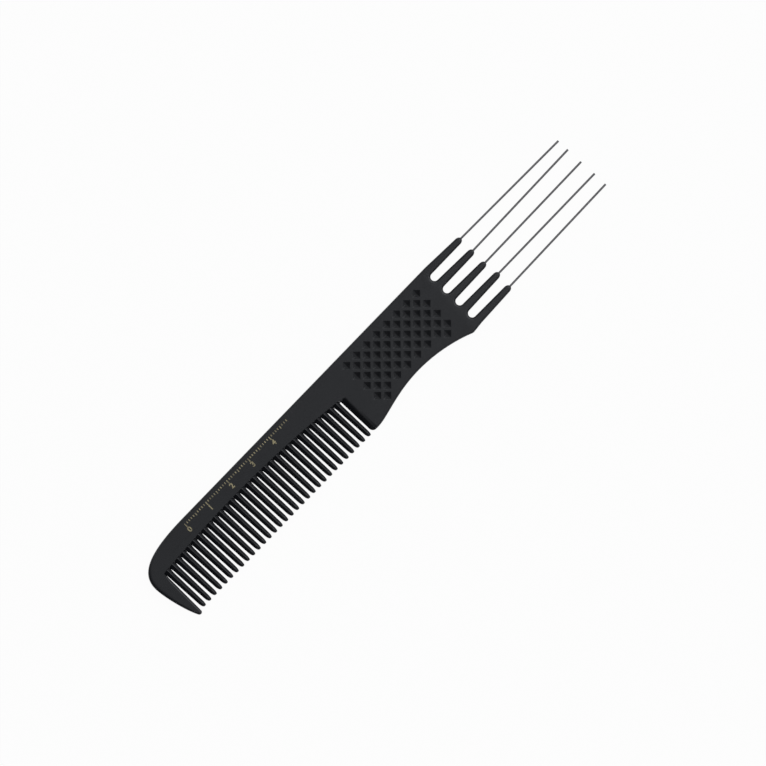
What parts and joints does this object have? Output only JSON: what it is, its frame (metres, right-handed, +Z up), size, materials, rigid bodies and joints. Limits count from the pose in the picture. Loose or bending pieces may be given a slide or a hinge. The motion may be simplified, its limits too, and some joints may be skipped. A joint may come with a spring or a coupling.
{
  "type": "metal pin comb",
  "caption": "Flat hairdressing comb with fine teeth, a scooped handle with a pitted grip, and slim steel pins set in prongs at its end.",
  "frame": {"origin": "under the middle of the comb, on the surface that it lies on", "axes": "+X along the comb towards the tips of the pins, +Y from the tooth tips to the spine, +Z up from the back face"},
  "size_m": [0.2, 0.0264, 0.004],
  "materials": {
    "black_moulding": "black, lightly satin moulding",
    "pin_steel": "plain drawn steel"
  },
  "bodies": {
    "root": {"comb_body": "black_moulding", "pin_1": "pin_steel", "pin_2": "pin_steel", "pin_3": "pin_steel", "pin_4": "pin_steel", "pin_5": "pin_steel"}
  },
  "joints": []
}
